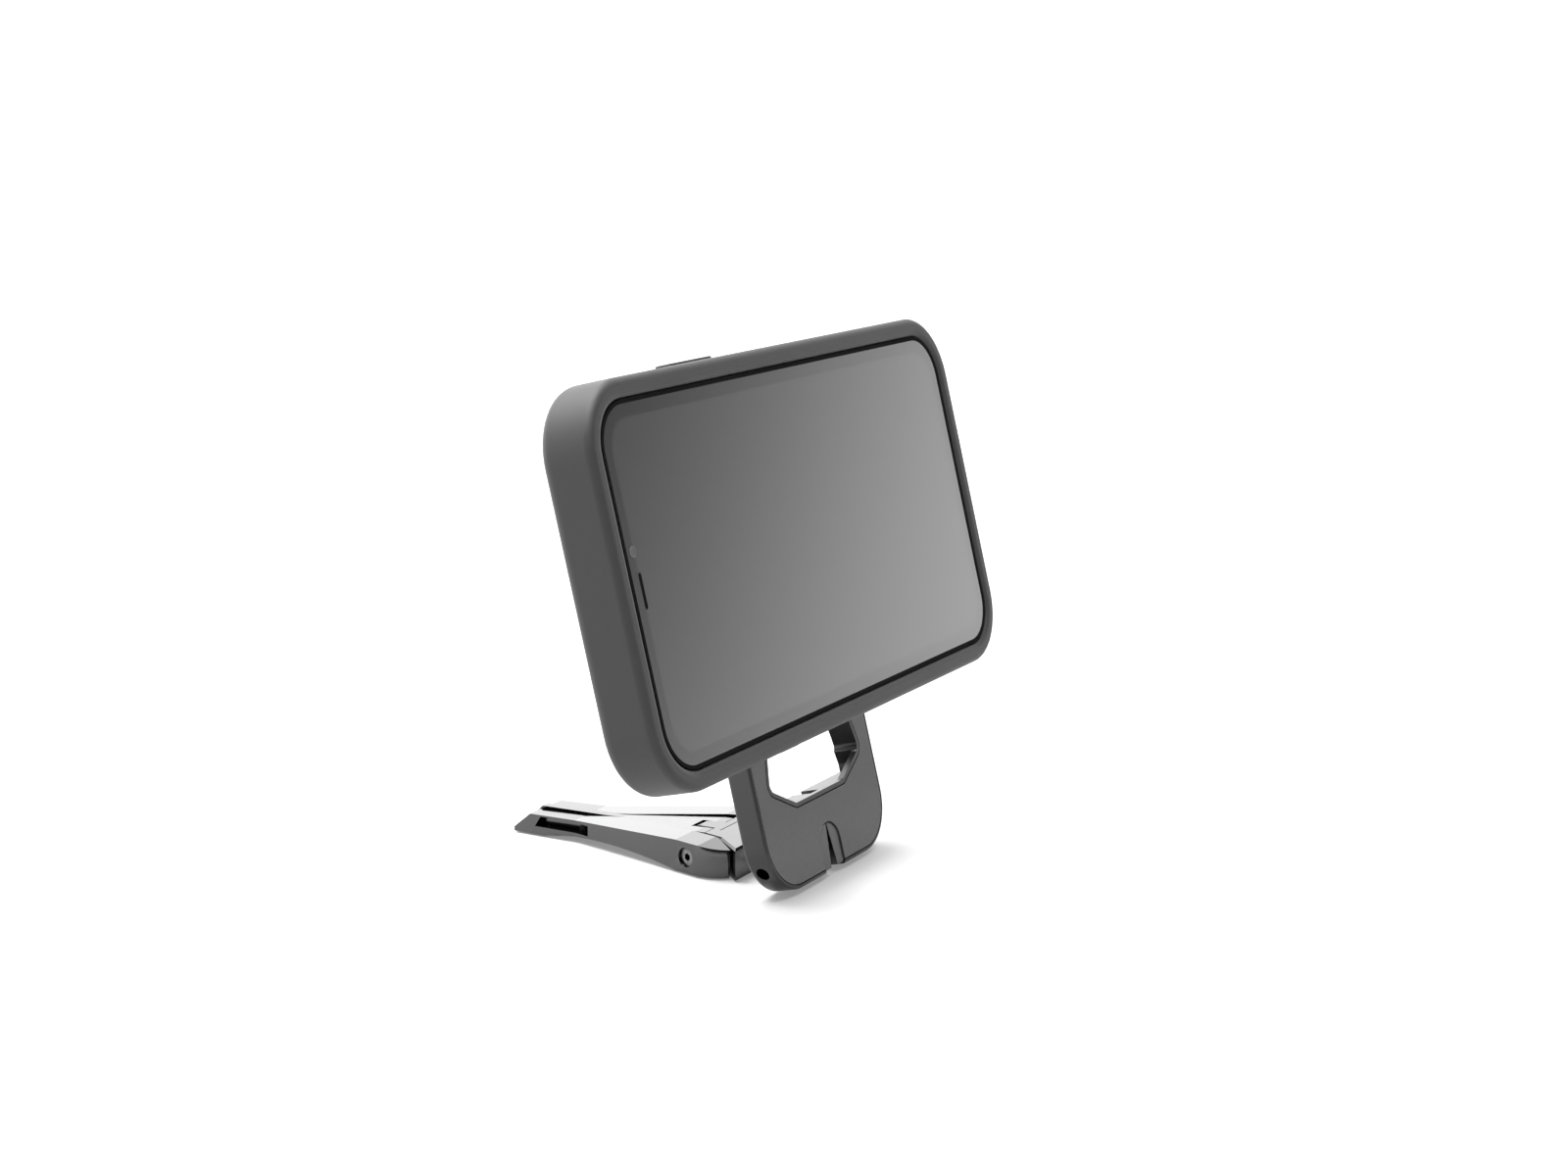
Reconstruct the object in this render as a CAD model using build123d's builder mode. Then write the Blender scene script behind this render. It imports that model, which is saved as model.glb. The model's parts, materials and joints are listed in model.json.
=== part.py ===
from build123d import *

import os
from math import cos, radians, sin, tan

# A handset in a thick protective case, held by magnets on a slim folding stand:
# a leaning mast plate on a small ball joint, a hub, and three nested legs.
# Millimetres. +Z up, the screen faces -Y, +X along the handset's long side.
# The origin is the centre of the rubber pad under the hub, on the desk.

os.makedirs("parts", exist_ok=True)

# ---------------------------------------------------------------- driving dimensions

# clearances
running_gap = 0.05        # round fits that turn or slide
seat_gap = 0.05           # pieces seated in pockets of the same body
body_gap = 0.30           # between faces of pieces that move past each other
inlay_gap = 0.25          # visible line round the inlaid pad
mount_gap = 0.10          # between the pad and the back of the case

# mast plate
lean = 13.6               # rearward lean of the plate, degrees
plate_width = 53.6
plate_length = 98.6
plate_thickness = 5.8
plate_corner = 11.6
plate_below = 5.8         # from the ball centre down to the lower edge
rear_round = 1.2
front_round = 0.6
rim = 0.8                 # metal rim outside the inlaid pad
window_lip = 0.9          # metal lip round the window
pad_thickness = 0.55
window_bottom = 11.4
window_flat = 21.4
window_shoulder = 15.8
window_widest = 17.2
window_width = 40.0
window_top = 40.0
window_taper = 0.26       # inward slope of the window's sides
window_round = 1.6
window_ease = 0.6         # step in width between the window's shoulder and its widest
slot_radius = 4.3
pocket_margin = 1.2       # round the folded legs
pocket_lead = 0.6         # in front of the hub
pocket_web = 0.8          # metal left between the legs' pocket and the pad
bore_web = 0.5            # metal left between the cross bores and the pad

# ball joint
ball_radius = 2.2
neck_radius = 1.2
neck_drop = 7.0           # slope of the neck, degrees below level
jaw_stem = 5.0
jaw_face = 1.2            # thickness of the jaw in front of the ball
tension_screw_length = 5.5
tension_hex = 1.5
access_radius = 1.4

# hub
hinge_to_origin = 18.0
hub_front = 12.0          # distances behind the ball centre
hub_rear = 24.4
hub_top = 7.1
floor_gap = 0.2           # metal stays this far above the desk
base_thickness = 1.0
base_inset = 1.4
pad_height = 0.8
hub_pad_width = 12.0
hub_pad_length = 7.6
hub_pad_corner = 1.5
hub_screw_radius = 1.0
hub_screw_head = 1.7
hub_screw_length = 4.4
hub_screw_x = 8.0
hub_screw_y = 15.6
hub_screw_taper = 35
hub_hex = 1.5
stud_depth = 6.0
groove_y = 22.0
groove_width = 0.25

# side legs
leg_yaw = 15.0
leg_width = 7.4
leg_x = 15.84             # outer face at the pivot
leg_pivot_y = 24.07
leg_pivot_z = 3.7
leg_reach = 74.5          # tip, behind the ball centre
nose_length = 12.0
nose_inner = 2.8
nose_flat = 2.9
nose_round = 2.5          # where the outer face begins to curve round the nose
nose_end = 9.5            # where that curve meets the nose's inner bevel
tip_half_width = 6.2
leg_gap = 0.3
leg_swing = 120.0         # swing of a side leg, degrees
tip_height = 4.8
knee_height = 5.0
knee_y = 58.0
knuckle_end = 27.0
facet_start = 20.5
facet_drop = 1.1
arch_rise = 1.5
tip_face = 1.0
tip_slope = 4.4
leg_bevel = 0.45
notch_depth = 2.2
notch_low = 2.1
notch_high = 4.5
notch_start = 68.8
notch_slant = 1.6         # lean of the notch's ends, as the tip's
notch_ramp = 58.5
notch_end = 53.8
foot_length = 7.0
foot_inset = 0.6
foot_end = 73.3

# leg pivots
pivot_radius = 1.25
pivot_head = 2.1
pivot_head_height = 1.8
pivot_recess = 0.6
washer_slack = 0.03
pivot_depth = 4.6         # threaded length in the hub
pivot_hex = 1.5
pivot_hex_depth = 1.25

# centre leg
pin_y = 28.2
pin_z = 5.0
pin_radius = 1.0
fork_round = 3.4
tongue_half = 2.3
tongue_round = 1.8
centre_half_tip = 1.2
centre_top = 6.7
centre_knee = 5.5
centre_tip = 5.4

# holding magnets
mount_u = 66.0            # turning centre above the ball
magnet_inner = 21.5
magnet_outer = 25.0
magnet_height = 2.0
shunt_height = 1.0
magnet_count = 7
magnet_open = 84.0        # arc left free for the legs, degrees
magnet_space = 2.0        # between magnets, degrees

# handset
phone_length = 146.0
phone_width = 71.6
phone_thickness = 8.0
phone_corner = 9.8
frame_wall = 1.8
glass_thickness = 0.8
back_glass_thickness = 0.7
display_thickness = 1.0
deck_thickness = 0.5

# case
case_wall = 4.5
case_corner = 14.5
case_lip = 0.6
case_back = 3.6
case_fit = 0.15
lip_round = 1.6
back_round = 2.6
panel_thickness = 0.8
panel_inset = 3.2
lining_thickness = 0.4
lining_inset = 2.0
lining_camera_gap = 0.5
ring_thickness = 0.8
ring_inner = 22.0
ring_outer = 27.0
ring_camera_gap = 1.0

# keys
key_height = 2.6
key_proud = 0.4
key_flange = 0.6
key_flange_lip = 0.7
cap_height = 4.0
cap_proud = 0.5
cap_round = 0.4
side_key_from_end = 42.0  # from the handset's camera end to the key's middle
side_key_length = 15.0
side_cap_length = 18.4
volume_up_from_end = 34.5
volume_down_from_end = 48.5
volume_key_length = 8.0
volume_cap_length = 10.4
switch_from_end = 19.5
switch_length = 5.4
switch_travel = 1.4
switch_cut_length = 13.0
switch_cut_height = 7.0
switch_cut_corner = 2.0

# rear camera, charge inlet
camera_from_end = 21.5
camera_from_side = 19.8
camera_size = 33.0
camera_corner = 8.0
camera_height = 1.8
camera_margin = 1.2
camera_round = 0.6
lens_radius = 6.2
lens_height = 0.9
inlet_width = 9.0
inlet_height = 3.2
inlet_depth = 6.5
inlet_wall = 0.35
inlet_cut_width = 14.0
inlet_cut_height = 6.4
inlet_cut_corner = 2.5

# inner modules
battery_x = 15.0
battery_length = 80.0
battery_width = 40.0
board_from_end = 38.0
board_y = -8.0
board_length = 18.0
board_width = 44.0
board_room = 1.0          # left free above the board
module_gap = 0.5          # between an end module and the frame
module_length = 12.0
speaker_y = -20.0
speaker_width = 18.0
motor_y = 19.0
motor_width = 16.0
earpiece_y = 2.0
earpiece_length = 5.0
earpiece_width = 16.0
block_corner = 1.0
coil_height = 0.5
coil_outer = 20.0
coil_inner = 7.3
coil_flat = 11.0          # from the centre to the flat side

# ---------------------------------------------------------------- derived places

half_plate = plate_thickness / 2
edge_drop = plate_below - rear_round
hinge_z = (
    edge_drop * cos(radians(lean)) + (half_plate - rear_round) * sin(radians(lean)) + rear_round
)
hinge_y = -hinge_to_origin
hinge_point = Vector(0, hinge_y, hinge_z)
forward = Vector(0, -cos(radians(lean)), sin(radians(lean)))

mast_plane = Plane(origin=hinge_point, x_dir=(1, 0, 0), z_dir=forward)
mast_axis = Axis(hinge_point, forward)
pad_recess = pad_thickness + seat_gap
plate_middle = plate_length / 2 - plate_below
pocket_floor = half_plate - pad_recess - pocket_web   # height of the legs' pocket from mid-plate
bore_radius = half_plate - pad_recess - bore_web
window_half = window_width / 2

case_thickness = case_back + phone_thickness + case_lip
phone_origin = mast_plane.from_local_coords(Vector(0, mount_u, half_plate + mount_gap))
phone_plane = Plane(origin=phone_origin, x_dir=(1, 0, 0), z_dir=forward)
phone_axis = Axis(phone_origin, forward)
case_length = phone_length + 2 * case_wall
case_width = phone_width + 2 * case_wall

side_key_x = side_key_from_end - phone_length / 2
volume_up_x = volume_up_from_end - phone_length / 2
volume_down_x = volume_down_from_end - phone_length / 2
switch_x = switch_from_end - phone_length / 2
camera_x = camera_from_end - phone_length / 2
camera_y = phone_width / 2 - camera_from_side

leg_top = hub_top
leg_floor = floor_gap
yaw_cos = cos(radians(leg_yaw))
yaw_sin = sin(radians(leg_yaw))
leg_slope = tan(radians(leg_yaw))
centre_clear = leg_gap / yaw_cos
tip_inner = centre_half_tip + leg_gap
nose_steep = (nose_length - nose_inner) / (leg_width - nose_flat)
nose_tip = nose_flat + (nose_length - nose_end) / nose_steep


def behind(distance):
    """Row y of a point a given distance behind the ball centre."""
    return hinge_y + distance


def leg_point(across, along):
    """Plan point of the left leg: inward across it from the pivot's outer end, and along it."""
    x = -leg_x + across * yaw_cos + along * yaw_sin
    y = behind(leg_pivot_y) - across * yaw_sin + along * yaw_cos
    return (x, y)


def outer_x(y):
    """Outer face of the left leg at a distance behind the ball centre."""
    return -leg_x + (y - leg_pivot_y) * leg_slope


def inner_x(y):
    """Inner face of the left leg at a distance behind the ball centre."""
    return outer_x(y) + leg_width / yaw_cos


def pivot_plane(side):
    """Plane on a side leg's outer face at its pivot, facing inward; side -1 is the left."""
    origin = (side * leg_x, behind(leg_pivot_y), leg_pivot_z)
    return Plane(origin=origin, x_dir=(0, 0, 1), z_dir=(-side * yaw_cos, -yaw_sin, 0))


pivot_axis = Axis((*leg_point(0, 0), leg_pivot_z), (yaw_cos, -yaw_sin, 0))
leg_plan_plane = Plane(
    origin=(*leg_point(0, 0), leg_pivot_z), x_dir=(yaw_cos, -yaw_sin, 0), z_dir=(0, 0, 1)
)
mirror_plane = Plane.YZ


# ---------------------------------------------------------------- shared outlines

def window_sketch(grow):
    """Octagonal window, widest low down, its sides closing in upward."""
    top_half = window_half - (window_top - window_widest) * window_taper
    with BuildSketch() as outline:
        with BuildLine():
            Polyline(
                (window_flat / 2, window_bottom),
                (window_half - window_ease, window_shoulder),
                (window_half, window_widest),
                (top_half, window_top),
                (-top_half, window_top),
                (-window_half, window_widest),
                (window_ease - window_half, window_shoulder),
                (-window_flat / 2, window_bottom),
                close=True,
            )
        make_face()
        fillet(outline.vertices(), window_round)
        if grow:
            offset(amount=grow)
    return outline.sketch


def slot_sketch(half_width):
    """Open slot round the ball, from a round top to past the plate's lower edge."""
    with BuildSketch() as outline:
        Circle(half_width)
        with Locations((0, -plate_below)):
            Rectangle(2 * half_width, 2 * plate_below)
    return outline.sketch


def ring_arc(inner, outer, start, sweep):
    """Flat piece of a ring round the turning centre."""
    with BuildSketch() as outline:
        with BuildLine():
            CenterArc((0, mount_u), outer, start, sweep)
            CenterArc((0, mount_u), inner, start, sweep)
            for turn in (start, start + sweep):
                foot = (inner * cos(radians(turn)), mount_u + inner * sin(radians(turn)))
                PolarLine(foot, outer - inner, turn)
        make_face()
    return outline.sketch


def pocket_sketch():
    """Pocket in the plate's back that takes the hub and the folded legs."""
    front = -outer_x(hub_front) + pocket_margin
    knee = -outer_x(knee_y) + pocket_margin
    tip = tip_half_width + pocket_margin
    with BuildSketch() as outline:
        with BuildLine():
            Polyline(
                (-front, hub_front - pocket_lead),
                (-front, hub_front + pocket_margin),
                (-knee, knee_y),
                (-tip, leg_reach + pocket_margin),
                (tip, leg_reach + pocket_margin),
                (knee, knee_y),
                (front, hub_front + pocket_margin),
                (front, hub_front - pocket_lead),
                close=True,
            )
        make_face()
    return outline.sketch


def hub_sketch(inset):
    """Hub seen from above: wide in front, closing in beside the knuckles."""
    steep = nose_steep
    lead = body_gap * (1 + steep ** 2) ** 0.5
    side = leg_width + leg_gap
    corner = leg_point(side, -(nose_length - (side - nose_flat) * steep + lead))
    reach = nose_length + lead + nose_flat * steep
    front = (hub_front - leg_pivot_y + yaw_cos * reach) / (yaw_cos * steep - yaw_sin)
    front_corner = leg_point(front, front * steep - reach)
    rear = (hub_rear - leg_pivot_y + side * yaw_sin) / yaw_cos
    rear_corner = leg_point(side, rear)
    with BuildSketch() as outline:
        with BuildLine():
            Polyline(
                front_corner,
                corner,
                rear_corner,
                (-rear_corner[0], rear_corner[1]),
                (-corner[0], corner[1]),
                (-front_corner[0], front_corner[1]),
                close=True,
            )
        make_face()
        if inset:
            offset(amount=-inset)
    return outline.sketch


def on_phone(height):
    """Plane parallel to the screen, a height above the back of the case."""
    return phone_plane.offset(height)


def phone_edge_plane(side, x, distance):
    """Plane facing out of a long edge of the handset: side +1 is the upper edge."""
    middle = case_back + phone_thickness / 2
    origin = phone_plane.from_local_coords(Vector(x, side * distance, middle))
    return Plane(origin=origin, x_dir=(1, 0, 0), z_dir=phone_plane.y_dir * side)


def inlet_plane(distance):
    """Plane facing out of the handset's right end, a distance past its edge."""
    middle = case_back + phone_thickness / 2
    origin = phone_plane.from_local_coords(Vector(phone_length / 2 + distance, 0, middle))
    return Plane(origin=origin, x_dir=phone_plane.y_dir, z_dir=(1, 0, 0))


# ---------------------------------------------------------------- mast

with BuildPart() as mast_frame:
    with BuildSketch(mast_plane.offset(-half_plate)):
        with Locations((0, plate_middle)):
            RectangleRounded(plate_width, plate_length, plate_corner)
    extrude(amount=plate_thickness)
    fillet(mast_frame.faces().sort_by(mast_axis)[0].edges(), rear_round)
    fillet(mast_frame.faces().sort_by(mast_axis)[-1].edges(), front_round)
    # recess for the inlaid pad, leaving the rim and the window's lip
    with BuildSketch(mast_plane.offset(half_plate - pad_recess)):
        with Locations((0, plate_middle)):
            RectangleRounded(plate_width - 2 * rim, plate_length - 2 * rim, plate_corner - rim)
        add(window_sketch(window_lip), mode=Mode.SUBTRACT)
    extrude(amount=pad_recess, mode=Mode.SUBTRACT)
    # window, open slot round the ball, pocket for the folded legs, channel for the neck
    with BuildSketch(mast_plane.offset(-half_plate)):
        add(window_sketch(0))
        add(slot_sketch(slot_radius))
    extrude(amount=plate_thickness, mode=Mode.SUBTRACT)
    with BuildSketch(mast_plane.offset(-half_plate)):
        add(pocket_sketch())
        with Locations((0, hub_front / 2)):
            Rectangle(2 * (neck_radius + 2 * body_gap), hub_front)
    extrude(amount=half_plate + pocket_floor, mode=Mode.SUBTRACT)
    # ring pocket for the magnets and their steel backing
    with BuildSketch(mast_plane.offset(half_plate - pad_recess)):
        start = magnet_open / 2 - 90
        add(ring_arc(magnet_inner - seat_gap, magnet_outer + seat_gap, start, 360 - magnet_open))
    extrude(amount=-(magnet_height + shunt_height + seat_gap), mode=Mode.SUBTRACT)
    # cross bores for the jaws, the tension screw and its hex key
    for side in (-1, 1):
        with BuildSketch(Plane(origin=hinge_point, x_dir=(0, 1, 0), z_dir=(side, 0, 0))):
            Circle(bore_radius)
        reach = slot_radius + jaw_stem + (tension_screw_length if side < 0 else 0) + seat_gap
        extrude(amount=reach, mode=Mode.SUBTRACT)
    with BuildSketch(Plane(origin=hinge_point, x_dir=(0, 1, 0), z_dir=(-1, 0, 0))):
        Circle(access_radius)
    extrude(amount=plate_width / 2, mode=Mode.SUBTRACT)
mast_frame.part.label = "mast_frame"
export_step(mast_frame.part, "parts/mast_frame.step")

with BuildPart() as front_pad:
    with BuildSketch(mast_plane.offset(half_plate - pad_thickness)):
        inset = rim + inlay_gap
        with Locations((0, plate_middle)):
            RectangleRounded(plate_width - 2 * inset, plate_length - 2 * inset, plate_corner - inset)
        add(window_sketch(window_lip + inlay_gap), mode=Mode.SUBTRACT)
        add(slot_sketch(slot_radius + inlay_gap), mode=Mode.SUBTRACT)
    extrude(amount=pad_thickness)
front_pad.part.label = "front_pad"
export_step(front_pad.part, "parts/front_pad.step")


magnet_pitch = (360 - magnet_open) / magnet_count
magnet_base = half_plate - pad_recess - magnet_height
with BuildPart() as holding_magnets:
    with BuildSketch(mast_plane.offset(magnet_base)):
        for index in range(magnet_count):
            start = magnet_open / 2 - 90 + index * magnet_pitch + magnet_space / 2
            add(ring_arc(magnet_inner, magnet_outer, start, magnet_pitch - magnet_space))
    extrude(amount=magnet_height)
holding_magnets.part.label = "holding_magnets"
export_step(holding_magnets.part, "parts/holding_magnets.step")

with BuildPart() as shunt_ring:
    with BuildSketch(mast_plane.offset(magnet_base - shunt_height)):
        start = magnet_open / 2 - 90 + magnet_space / 2
        add(ring_arc(magnet_inner, magnet_outer, start, 360 - magnet_open - magnet_space))
    extrude(amount=shunt_height)
shunt_ring.part.label = "shunt_ring"
export_step(shunt_ring.part, "parts/shunt_ring.step")

# ---------------------------------------------------------------- ball joint

jaw_front = half_plate - body_gap
jaw_low = plate_below - 2 * body_gap
neck_room = neck_radius + body_gap


def ball_jaw(side):
    """Half of the ball's socket: a lobe in the slot with a stem in the cross bore."""
    with BuildPart() as jaw:
        with BuildSketch(mast_plane.offset(-jaw_front)):
            Circle(slot_radius - seat_gap)
            with Locations((0, -jaw_low / 2)):
                Rectangle(2 * (slot_radius - seat_gap), jaw_low)
            with Locations((-side * slot_radius, 0)):
                Rectangle(2 * slot_radius, 4 * slot_radius, mode=Mode.SUBTRACT)
        extrude(amount=2 * jaw_front)
        # wedge of clear space in front, opening downward
        with BuildSketch(mast_plane.offset(-jaw_front)):
            with BuildLine():
                Polyline(
                    (0, 2 * slot_radius),
                    (side * body_gap / 2, slot_radius),
                    (side * neck_room, -plate_below),
                    (0, -plate_below),
                    close=True,
                )
            make_face()
        extrude(amount=2 * jaw_front, mode=Mode.SUBTRACT)
        # room for the neck to swing behind the front face of the jaw
        with BuildSketch(mast_plane.offset(-jaw_front)):
            Rectangle(2 * neck_room, 4 * plate_below)
        extrude(amount=2 * jaw_front - jaw_face, mode=Mode.SUBTRACT)
        with BuildSketch(Plane(origin=hinge_point, x_dir=(0, 1, 0), z_dir=(side, 0, 0))):
            Circle(bore_radius - running_gap)
        extrude(amount=slot_radius + jaw_stem)
        with BuildSketch(mast_plane.offset(-jaw_front)):
            Rectangle(2 * neck_room, 4 * plate_below)
        extrude(amount=2 * jaw_front - jaw_face, mode=Mode.SUBTRACT)
        with Locations(hinge_point):
            Sphere(ball_radius + running_gap, mode=Mode.SUBTRACT)
    return jaw


for side, name in ((-1, "ball_jaw_left"), (1, "ball_jaw_right")):
    jaw = ball_jaw(side)
    jaw.part.label = name
    export_step(jaw.part, f"parts/{name}.step")

with BuildPart() as ball_tension_screw:
    screw_start = slot_radius + jaw_stem + seat_gap
    with BuildSketch(
        Plane(origin=hinge_point - Vector(screw_start, 0, 0), x_dir=(0, 1, 0), z_dir=(-1, 0, 0))
    ):
        Circle(bore_radius - running_gap)
    extrude(amount=tension_screw_length - 2 * seat_gap)
    with BuildSketch(ball_tension_screw.faces().sort_by(Axis.X)[0]):
        RegularPolygon(tension_hex / 2, 6, major_radius=False)
    extrude(amount=-tension_screw_length / 2, mode=Mode.SUBTRACT)
ball_tension_screw.part.label = "ball_tension_screw"
export_step(ball_tension_screw.part, "parts/ball_tension_screw.step")

neck_dir = Vector(0, cos(radians(neck_drop)), -sin(radians(neck_drop)))
stud_length = hub_front / cos(radians(neck_drop)) + stud_depth
with BuildPart() as ball_stud:
    with BuildSketch(Plane(origin=hinge_point, x_dir=(1, 0, 0), z_dir=neck_dir)):
        Circle(neck_radius)
    extrude(amount=stud_length)
    with Locations(hinge_point):
        Sphere(ball_radius)
ball_stud.part.label = "ball_stud"
export_step(ball_stud.part, "parts/ball_stud.step")

# ---------------------------------------------------------------- hub

with BuildPart() as hub_body:
    with BuildSketch(Plane.XY.offset(floor_gap)):
        add(hub_sketch(0))
    extrude(amount=hub_top - floor_gap)
    chamfer(hub_body.faces().sort_by(Axis.Z)[-1].edges(), leg_bevel)
    # tongue for the centre leg's pin
    with BuildSketch(Plane.YZ.offset(-tongue_half)):
        with Locations((behind(pin_y), pin_z)):
            Circle(tongue_round)
        with Locations((behind((pin_y + groove_y) / 2), pin_z)):
            Rectangle(pin_y - groove_y, 2 * tongue_round)
    extrude(amount=2 * tongue_half)
    with BuildSketch(Plane.YZ.offset(-tongue_half)):
        with Locations((behind(pin_y), pin_z)):
            Circle(pin_radius + running_gap)
    extrude(amount=2 * tongue_half, mode=Mode.SUBTRACT)
    # recess for the base plate, bores for the screws and the stud, a shallow groove on top
    with BuildSketch(Plane.XY.offset(floor_gap)):
        add(hub_sketch(base_inset - seat_gap))
    extrude(amount=base_thickness + seat_gap, mode=Mode.SUBTRACT)
    with BuildSketch(Plane.XY.offset(floor_gap)):
        with Locations(*[(x, behind(hub_screw_y)) for x in (-hub_screw_x, hub_screw_x)]):
            Circle(hub_screw_radius + seat_gap)
    extrude(amount=hub_screw_length + seat_gap, mode=Mode.SUBTRACT)
    with BuildSketch(Plane(origin=hinge_point, x_dir=(1, 0, 0), z_dir=neck_dir)):
        Circle(neck_radius + seat_gap)
    extrude(amount=stud_length + seat_gap, mode=Mode.SUBTRACT)
    with BuildSketch(Plane.XY.offset(hub_top - groove_width)):
        with Locations((0, behind(groove_y))):
            Rectangle(2 * slot_radius, groove_width)
    extrude(amount=groove_width, mode=Mode.SUBTRACT)
    # threaded bores for the leg screws, one each side
    for side in (-1, 1):
        with BuildSketch(pivot_plane(side).offset(leg_width)):
            Circle(pivot_radius + seat_gap)
        extrude(amount=leg_gap + pivot_depth + seat_gap, mode=Mode.SUBTRACT)
        # room for the side leg at full swing
        with BuildSketch(pivot_plane(side)):
            Rectangle(
                leg_reach,
                2 * (leg_pivot_z - floor_gap + body_gap),
                rotation=side * (90 + leg_swing),
                align=(Align.MIN, Align.CENTER),
            )
        extrude(amount=leg_width + leg_gap / 2, mode=Mode.SUBTRACT)
hub_body.part.label = "hub_body"
export_step(hub_body.part, "parts/hub_body.step")

with BuildPart() as hub_base_plate:
    with BuildSketch(Plane.XY.offset(floor_gap)):
        add(hub_sketch(base_inset))
    extrude(amount=base_thickness)
    with BuildSketch(Plane.XY.offset(floor_gap)):
        with Locations(*[(x, behind(hub_screw_y)) for x in (-hub_screw_x, hub_screw_x)]):
            Circle(hub_screw_head)
    extrude(amount=base_thickness, taper=hub_screw_taper, mode=Mode.SUBTRACT)
    with BuildSketch(Plane.XY.offset(floor_gap)):
        Rectangle(hub_pad_width + 2 * seat_gap, hub_pad_length + 2 * seat_gap)
    extrude(amount=pad_height - floor_gap, mode=Mode.SUBTRACT)
hub_base_plate.part.label = "hub_base_plate"
export_step(hub_base_plate.part, "parts/hub_base_plate.step")

with BuildPart() as hub_pad:
    with BuildSketch(Plane.XY):
        RectangleRounded(hub_pad_width, hub_pad_length, hub_pad_corner)
    extrude(amount=pad_height - seat_gap)
hub_pad.part.label = "hub_pad"
export_step(hub_pad.part, "parts/hub_pad.step")

with BuildPart() as hub_screws:
    with BuildSketch(Plane.XY.offset(floor_gap)):
        with Locations(*[(x, behind(hub_screw_y)) for x in (-hub_screw_x, hub_screw_x)]):
            Circle(hub_screw_head - seat_gap)
    extrude(amount=base_thickness, taper=hub_screw_taper)
    with BuildSketch(Plane.XY.offset(floor_gap)):
        with Locations(*[(x, behind(hub_screw_y)) for x in (-hub_screw_x, hub_screw_x)]):
            Circle(hub_screw_radius)
    extrude(amount=hub_screw_length)
    with BuildSketch(Plane.XY.offset(floor_gap)):
        with Locations(*[(x, behind(hub_screw_y)) for x in (-hub_screw_x, hub_screw_x)]):
            RegularPolygon(hub_hex / 2, 6, major_radius=False)
    extrude(amount=base_thickness, mode=Mode.SUBTRACT)
hub_screws.part.label = "hub_screws"
export_step(hub_screws.part, "parts/hub_screws.step")

with BuildPart() as leg_washers:
    for side in (-1, 1):
        with BuildSketch(pivot_plane(side).offset(leg_width + washer_slack)):
            Circle(pivot_head)
            Circle(pivot_radius + running_gap, mode=Mode.SUBTRACT)
        extrude(amount=leg_gap - 2 * washer_slack)
leg_washers.part.label = "leg_washers"
export_step(leg_washers.part, "parts/leg_washers.step")

# ---------------------------------------------------------------- side legs

with BuildPart() as nose_trim:
    # what lies below the pivot and outside the nose's sweep about it
    with BuildSketch(leg_plan_plane.offset(-2 * leg_pivot_z)):
        with Locations((leg_width / 2, -nose_length)):
            Rectangle(2 * leg_width, 2 * nose_length)
    extrude(amount=2 * leg_pivot_z)
    with BuildSketch(leg_plan_plane):
        with BuildLine():
            Polyline(
                (-leg_width, 0),
                (-leg_width, -nose_length),
                (nose_flat, -nose_length),
                (leg_width, -nose_inner),
                (2 * leg_width, -nose_inner),
                (2 * leg_width, 0),
                close=True,
            )
        make_face()
    revolve(axis=pivot_axis, mode=Mode.SUBTRACT)

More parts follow.
